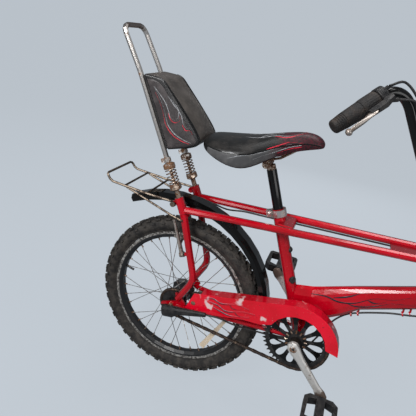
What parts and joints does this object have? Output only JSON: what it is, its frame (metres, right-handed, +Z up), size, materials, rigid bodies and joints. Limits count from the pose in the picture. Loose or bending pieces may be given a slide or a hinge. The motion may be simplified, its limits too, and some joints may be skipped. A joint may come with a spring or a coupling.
{
  "type": "chopper bicycle",
  "caption": "Long-wheelbase bicycle with a large rear and a small front wheel, high handlebar, bucket saddle and sprung sissy bar with backrest.",
  "frame": {"origin": "on the ground where the rear tyre stands, below the rear axle", "axes": "+X forward, +Y to the rider's left, +Z up"},
  "size_m": [1.4156, 0.8033, 1.0785],
  "materials": {
    "red_enamel": "gloss",
    "black_enamel": "gloss",
    "black_plastic": "satin",
    "grip_rubber": "matte",
    "tyre_rubber": "matte",
    "vinyl": "satin",
    "chrome": "worn",
    "alloy": "satin",
    "rusty_steel": "rusty",
    "cable_sleeve": "satin",
    "reflector": "gloss"
  },
  "bodies": {
    "frame": {"head_tube": "red_enamel", "main_tube": "red_enamel", "seat_tube": "red_enamel", "right_rail": "red_enamel", "left_rail": "red_enamel", "right_rear_leg": "red_enamel", "left_rear_leg": "red_enamel", "stay_bridge": "red_enamel", "seat_clamp": "alloy", "rear_mudguard": "black_enamel", "rack": "rusty_steel", "chain_guard": "red_enamel", "rear_axle": "rusty_steel", "shift_box": "black_plastic", "right_guide_rod": "rusty_steel", "left_guide_rod": "rusty_steel", "right_spring": "rusty_steel", "left_spring": "rusty_steel", "chain": "rusty_steel", "rear_brake_cable": "cable_sleeve", "gear_cable": "cable_sleeve"},
    "kickstand": {"kickstand": "alloy"},
    "sissy": {"sissy_bar": "chrome", "backrest_pad": "vinyl", "backrest_board": "black_plastic"},
    "seat": {"saddle": "vinyl", "seat_post": "black_enamel", "saddle_rails": "rusty_steel"},
    "steering": {"fork": "black_enamel", "front_axle": "rusty_steel", "front_mudguard": "black_enamel", "stem": "black_enamel", "handlebar": "black_enamel", "right_grip": "grip_rubber", "left_grip": "grip_rubber", "right_lever_bracket": "black_plastic", "left_lever_bracket": "black_plastic", "front_brake_cable": "cable_sleeve", "rear_brake_cable_on_bar": "cable_sleeve", "gear_cable_on_bar": "cable_sleeve"},
    "shifter": {"twist_shifter": "black_plastic"},
    "right_lever": {"right_brake_lever": "alloy"},
    "left_lever": {"left_brake_lever": "alloy"},
    "rear_arm_right": {"rear_brake_right": "alloy"},
    "rear_arm_left": {"rear_brake_left": "alloy"},
    "front_arm_right": {"front_brake_right": "alloy"},
    "front_arm_left": {"front_brake_left": "alloy"},
    "rear_wheel": {"rear_tyre": "tyre_rubber", "rear_rim": "black_enamel", "rear_hub": "black_plastic", "spoke_reflector": "reflector"},
    "rear_sprocket": {"sprocket": "black_plastic"},
    "front_wheel": {"front_tyre": "tyre_rubber", "front_rim": "black_enamel", "front_hub": "black_plastic"},
    "crank": {"chainring": "black_plastic", "right_crank": "alloy", "left_crank": "alloy"},
    "right_pedal_body": {"right_pedal": "black_plastic"},
    "left_pedal_body": {"left_pedal": "black_plastic"}
  },
  "joints": [
    {"name": "steering_turn", "type": "hinge", "parent": "frame", "child": "steering", "pos_m": [0.77313, 0, 0.5027], "axis": [-0.4067, 0, 0.9135], "range_deg": [-33, 67], "deforming": ["rear_brake_cable", "gear_cable"]},
    {"name": "front_wheel_spin", "type": "hinge", "parent": "steering", "child": "front_wheel", "pos_m": [0.9484, -0.0117, 0.20309], "axis": [0.2671, 0.9563, 0.1189], "continuous": true},
    {"name": "rear_wheel_spin", "type": "hinge", "parent": "frame", "child": "rear_wheel", "pos_m": [0, 0, 0.255], "axis": [0, 1, 0], "continuous": true},
    {"name": "crank_spin", "type": "hinge", "parent": "frame", "child": "crank", "pos_m": [0.36452, 0, 0.275], "axis": [0, 1, 0], "continuous": true, "deforming": ["chain"]},
    {"name": "sprocket_spin", "type": "hinge", "parent": "frame", "child": "rear_sprocket", "pos_m": [0, 0, 0.255], "axis": [0, 1, 0], "continuous": true},
    {"name": "right_pedal_spin", "type": "hinge", "parent": "crank", "child": "right_pedal_body", "pos_m": [0.46623, 0, 0.16204], "axis": [0, 1, 0], "continuous": true},
    {"name": "left_pedal_spin", "type": "hinge", "parent": "crank", "child": "left_pedal_body", "pos_m": [0.26282, 0, 0.38796], "axis": [0, 1, 0], "continuous": true},
    {"name": "right_lever_pull", "type": "hinge", "parent": "steering", "child": "right_lever", "pos_m": [0.38837, -0.33075, 0.95935], "axis": [0.477, 0.3534, -0.8047], "range_deg": [0, 14], "stiffness_Nm_per_rad": 1.2, "springref_deg": -14.32},
    {"name": "left_lever_pull", "type": "hinge", "parent": "steering", "child": "left_lever", "pos_m": [0.58322, 0.3669, 1.0461], "axis": [-0.2796, 0.3537, 0.8926], "range_deg": [0, 14], "stiffness_Nm_per_rad": 1.2, "springref_deg": -14.32},
    {"name": "rear_arm_right_pull", "type": "hinge", "parent": "frame", "child": "rear_arm_right", "pos_m": [0.006, -0.054, 0.422], "axis": [-0.9166, 0, -0.3998], "range_deg": [0, 4.3]},
    {"name": "front_arm_right_pull", "type": "hinge", "parent": "steering", "child": "front_arm_right", "pos_m": [0.8797, -0.06199, 0.32036], "axis": [-0.8166, 0.2901, -0.4989], "range_deg": [0, 4.3]},
    {"name": "rear_arm_left_pull", "type": "hinge", "parent": "frame", "child": "rear_arm_left", "pos_m": [0.006, 0.054, 0.422], "axis": [0.9166, 0, 0.3998], "range_deg": [0, 4.3]},
    {"name": "front_arm_left_pull", "type": "hinge", "parent": "steering", "child": "front_arm_left", "pos_m": [0.90775, 0.03842, 0.33285], "axis": [0.8166, -0.2901, 0.4989], "range_deg": [0, 4.3]},
    {"name": "gear_twist", "type": "hinge", "parent": "steering", "child": "shifter", "pos_m": [0.33099, -0.33954, 0.92147], "axis": [-0.6084, -0.5279, -0.5925], "range_deg": [-40, 40]},
    {"name": "sissy_slide", "type": "slide", "parent": "frame", "child": "sissy", "axis": [-0.4617, 0, 0.887], "range_m": [-0.01, 0], "stiffness_N_per_m": 8000, "springref_m": 0.006, "deforming": ["right_spring", "left_spring"]},
    {"name": "seat_height", "type": "slide", "parent": "frame", "child": "seat", "axis": [-0.3649, 0, 0.9311], "range_m": [-0.06, 0]},
    {"name": "stand_swing", "type": "hinge", "parent": "frame", "child": "kickstand", "pos_m": [0.3, 0.047, 0.252], "axis": [0, -1, 0], "range_deg": [0, 75]}
  ],
  "couplings": [
    {"joint": "sprocket_spin", "follows": "crank_spin", "ratio": 2.2},
    {"joint": "front_arm_right_pull", "follows": "right_lever_pull", "ratio": 0.3},
    {"joint": "front_arm_left_pull", "follows": "right_lever_pull", "ratio": 0.3},
    {"joint": "rear_arm_right_pull", "follows": "left_lever_pull", "ratio": 0.3},
    {"joint": "rear_arm_left_pull", "follows": "left_lever_pull", "ratio": 0.3}
  ]
}
